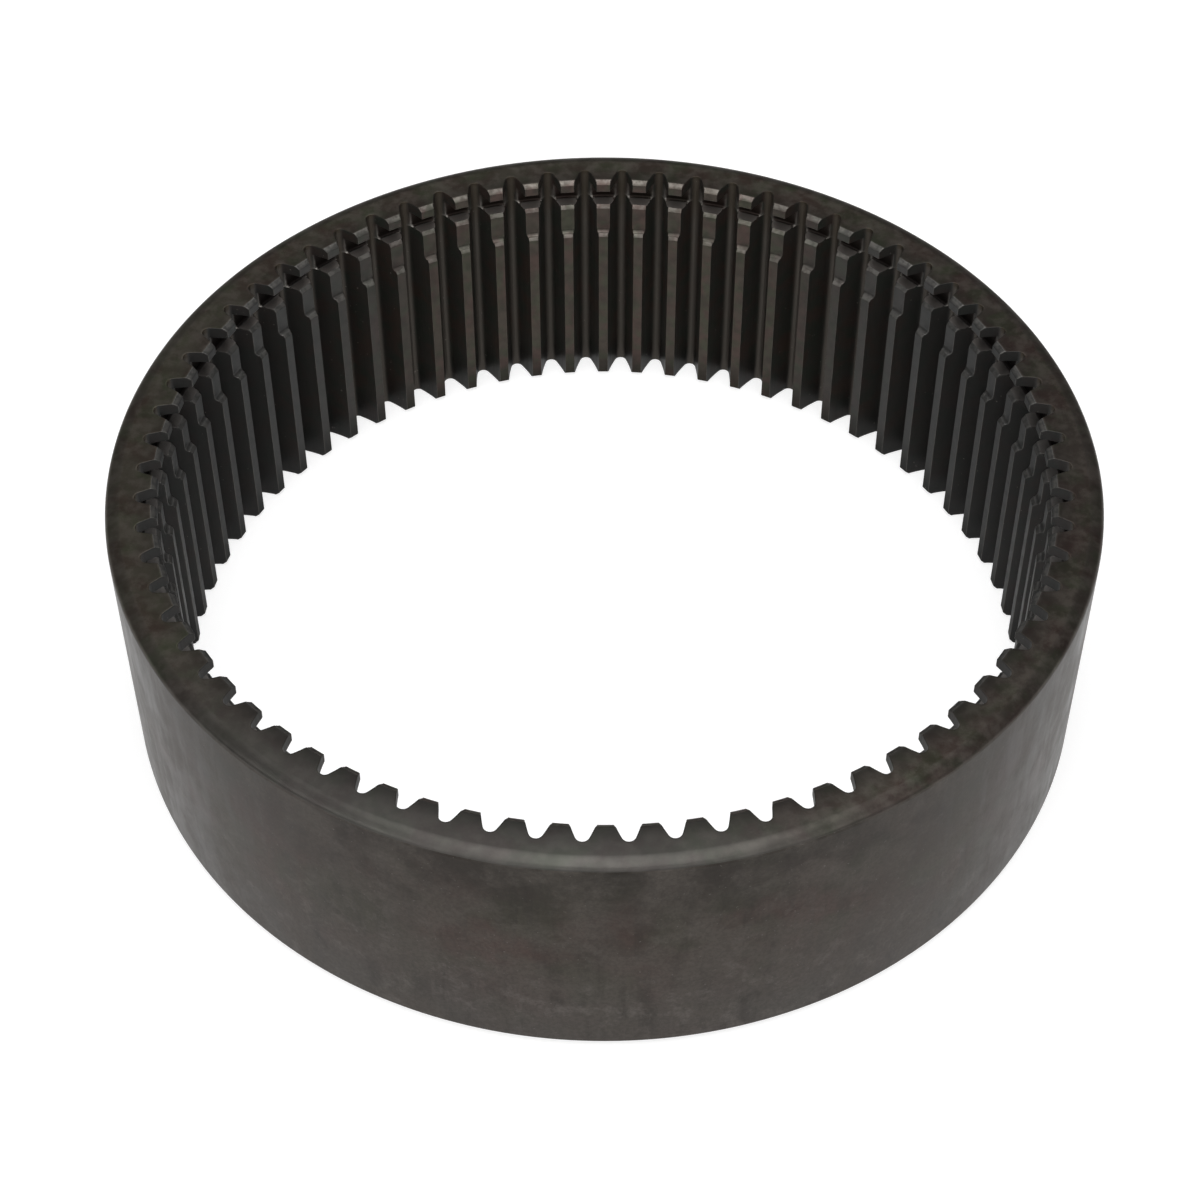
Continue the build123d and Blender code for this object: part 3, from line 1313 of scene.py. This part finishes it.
@dataclass
class Studio:
    """Pale floor and soft lights.

    Args:
        floor_size: Side of the floor in metres.
        floor_drop: How far below the ring's foot the floor lies, in metres.
        floor_colour: Colour of the floor.
        floor_matt: Roughness of the floor.
        floor_glow: How strongly the floor shines by itself, which keeps it pale.
        ceiling: Light of the room, by the sine of the angle above the horizon.
        haze: Extra light where the floor ends, by the same measure.
        softboxes: The lights.
    """

    floor_size: float = 60.0
    floor_drop: float = 0.0002
    floor_colour: Colour = (0.42, 0.42, 0.42)
    floor_matt: float = 0.9
    floor_glow: float = 0.72
    ceiling: Slope = Slope(0.2, 0.9, 0.22, 0.30)
    haze: Slope = Slope(0.02, 0.16, 0.79, 0.0)
    softboxes: tuple[Softbox, ...] = (
        Softbox("overhead", 0.0, 85.0, 1.1, (0.60, 1.0), 6.8),
        Softbox("behind", 180.0, 54.0, 1.6, (0.5, 0.8), 1.9),
        Softbox("key", -3.0, 38.0, 1.4, (2.3, 1.1), 11.0),
        Softbox("left", -60.0, 48.0, 1.4, (0.75, 0.75), 2.2),
        Softbox("right", 60.0, 48.0, 1.4, (0.75, 0.75), 1.7),
    )

    def build(self) -> None:
        """Lays the floor, sets the room's light and hangs the softboxes."""
        self._floor()
        self._room()
        for softbox in self.softboxes:
            softbox.hang()

    def _floor(self) -> None:
        """Lays the floor under the ring."""
        half = self.floor_size / 2
        mesh = bpy.data.meshes.new("floor")
        corners = [(-half, -half, 0), (half, -half, 0), (half, half, 0), (-half, half, 0)]
        mesh.from_pydata(corners, [], [(0, 1, 2, 3)])
        material = bpy.data.materials.new("pale_floor")
        material.use_nodes = True
        shader = material.node_tree.nodes["Principled BSDF"]
        shader.inputs["Base Color"].default_value = (*self.floor_colour, 1.0)
        shader.inputs["Roughness"].default_value = self.floor_matt
        shader.inputs["Emission Color"].default_value = (1.0, 1.0, 1.0, 1.0)
        shader.inputs["Emission Strength"].default_value = self.floor_glow
        mesh.materials.append(material)
        floor = bpy.data.objects.new("floor", mesh)
        floor.location.z = -self.floor_drop
        bpy.context.scene.collection.objects.link(floor)

    def _room(self) -> None:
        """Sets the room's own light, paler overhead and in the haze where the floor ends."""
        world = bpy.data.worlds.new("pale_room")
        world.use_nodes = True
        world.node_tree.nodes.clear()
        graph = Graph(world.node_tree)
        direction = graph.node("ShaderNodeTexCoord", {}, {}, "Generated")
        height = graph.axes(direction)[2]
        level = self.ceiling.read(graph, height) + self.haze.read(graph, height)
        graph.end("ShaderNodeOutputWorld", graph.node("ShaderNodeBackground", {}, {"Strength": level}))
        bpy.context.scene.world = world
        bpy.context.scene.view_settings.view_transform = "Standard"


@dataclass
class Camera:
    """The camera, set by its angle above the floor and its distance from the ring's foot.

    Args:
        elevation: Angle above the floor in radians.
        azimuth: Turn of the camera round the ring's axis in radians, 0 in front.
        distance: Distance in metres.
        pan: Small turn to the side in radians.
        tilt: Small turn down in radians.
        roll: Small turn about the line of sight in radians.
        lens: Focal length in millimetres.
        sensor: Width of the sensor in millimetres.
        reach: Nearest and farthest distance that it sees, in metres.
    """

    elevation: float = 0.855955
    azimuth: float = -0.003
    distance: float = 0.786763
    pan: float = 0.00157
    tilt: float = 0.0196215
    roll: float = -0.000845453
    lens: float = 80.571
    sensor: float = 36.0
    reach: tuple[float, float] = (0.01, 50.0)

    def place(self) -> None:
        """Makes the camera and gives it to the scene."""
        back = Vector((0.0, -math.cos(self.elevation), math.sin(self.elevation)))
        right = Vector((1.0, 0.0, 0.0))
        level = Matrix((right, right.cross(-back), -back))
        turn = (
            Matrix.Rotation(self.roll, 3, "Z")
            @ Matrix.Rotation(self.tilt, 3, "X")
            @ Matrix.Rotation(self.pan, 3, "Y")
        )
        rows = turn @ level
        axes = Matrix((rows[0], rows[1], -rows[2])).transposed()
        data = bpy.data.cameras.new("camera")
        data.lens = self.lens
        data.sensor_width = self.sensor
        data.clip_start, data.clip_end = self.reach
        camera = bpy.data.objects.new("camera", data)
        around = Matrix.Rotation(self.azimuth, 4, "Z")
        camera.matrix_world = around @ Matrix.Translation(back * self.distance) @ axes.to_4x4()
        bpy.context.scene.collection.objects.link(camera)
        bpy.context.scene.camera = camera


def main() -> None:
    """Builds the ring to the CAD part's box, hides the part, and sets up studio and camera."""
    logging.basicConfig(level=logging.INFO, format="%(message)s")
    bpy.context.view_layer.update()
    low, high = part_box("ring_gear")
    ring = Ring(outer_radius=(high.x - low.x) / 2 / MM, height=(high.z - low.z) / MM)
    made = ring.build()
    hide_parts("ring_gear")
    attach(made, "root")
    log.info("%s: %d faces", made.name, len(made.data.polygons))
    Studio().build()
    Camera().place()


if __name__ == "__main__":
    main()
